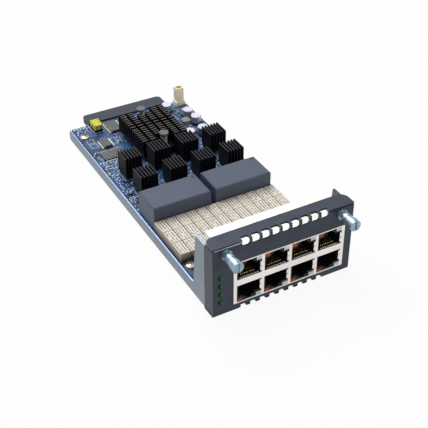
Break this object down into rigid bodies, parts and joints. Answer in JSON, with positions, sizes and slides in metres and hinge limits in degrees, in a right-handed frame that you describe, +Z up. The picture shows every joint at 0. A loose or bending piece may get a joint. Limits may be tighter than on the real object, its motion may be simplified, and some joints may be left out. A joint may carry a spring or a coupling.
{
  "type": "ethernet network interface module",
  "caption": "Slide-in network module: folded tray and front panel, stacked block of RJ45 ports, captive thumbscrews, board with relays, magnetics and finned heat sinks.",
  "frame": {"origin": "centre of the tray's flat underside", "axes": "+X to the right seen from the front, +Y to the rear, +Z up"},
  "size_m": [0.078, 0.2039, 0.041],
  "materials": {
    "plated_sheet": "zinc plated sheet",
    "painted_sheet": "fine dark powder coat",
    "circuit_board": "blue solder mask",
    "dark_cap": "matt moulded cap",
    "tinned_shield": "bright tinned sheet",
    "black_moulding": "black moulded plastic",
    "gold_contact": "gold plated",
    "amber_lens": "amber light pipe",
    "clear_lens": "clear light pipe",
    "green_lens": "green light pipe",
    "nickel_steel": "turned and nickel plated",
    "brass_standoff": "nickel plated brass",
    "relay_cream": "cream moulded case",
    "potted_black": "matt black potted case",
    "black_anodised": "black anodised extrusion",
    "chip_black": "moulded chip body",
    "tin_lead": "tin plated leads",
    "can_aluminium": "sleeved aluminium can",
    "header_cream": "cream nylon",
    "jumper_yellow": "yellow moulded shunt",
    "grey_ferrite": "grey moulded ferrite",
    "grey_nylon": "grey nylon"
  },
  "bodies": {
    "module": {"tray": "plated_sheet", "front_panel": "painted_sheet", "main_board": "circuit_board", "edge_cap": "dark_cap", "standoffs": "brass_standoff", "board_screws": "nickel_steel", "jack_shield": "tinned_shield", "jack_housing": "black_moulding", "port_contacts": "gold_contact", "port_leds_amber": "amber_lens", "port_leds_clear": "clear_lens", "jack_tails": "tin_lead", "status_holder": "black_moulding", "status_lights": "green_lens", "left_ferrule": "nickel_steel", "right_ferrule": "nickel_steel", "relays_front": "relay_cream", "relays_middle": "relay_cream", "relays_rear": "relay_cream", "magnetics_left": "potted_black", "magnetics_right": "potted_black", "magnetics_leads": "tin_lead", "port_controllers": "chip_black", "main_heat_sink": "black_anodised", "switch_chip": "chip_black", "push_pins": "grey_nylon", "capacitor_cans": "can_aluminium", "capacitor_bases": "black_moulding", "power_inductor": "grey_ferrite", "power_header": "header_cream", "power_pins": "tin_lead", "jumper_header": "black_moulding", "jumper_pins": "gold_contact", "jumper_caps": "jumper_yellow", "logic_chip": "chip_black", "memory_chip": "chip_black", "bus_chip": "chip_black", "chip_leads": "tin_lead", "port_heat_sink_1": "black_anodised", "port_heat_sink_2": "black_anodised", "port_heat_sink_3": "black_anodised", "port_heat_sink_4": "black_anodised", "port_heat_sink_5": "black_anodised", "port_heat_sink_6": "black_anodised", "port_heat_sink_7": "black_anodised", "port_heat_sink_8": "black_anodised"},
    "left_ring": {"left_retaining_ring": "nickel_steel"},
    "left_screw": {"left_thumbscrew": "nickel_steel"},
    "right_ring": {"right_retaining_ring": "nickel_steel"},
    "right_screw": {"right_thumbscrew": "nickel_steel"}
  },
  "joints": [
    {"name": "left_screw_slide", "type": "slide", "parent": "module", "child": "left_ring", "axis": [0, 1, 0], "range_m": [0, 0.002]},
    {"name": "left_screw_turn", "type": "hinge", "parent": "left_ring", "child": "left_screw", "pos_m": [-0.032, -0.091, 0.0365], "axis": [0, 1, 0], "continuous": true},
    {"name": "right_screw_slide", "type": "slide", "parent": "module", "child": "right_ring", "axis": [0, 1, 0], "range_m": [0, 0.002]},
    {"name": "right_screw_turn", "type": "hinge", "parent": "right_ring", "child": "right_screw", "pos_m": [0.032, -0.091, 0.0365], "axis": [0, 1, 0], "continuous": true}
  ]
}
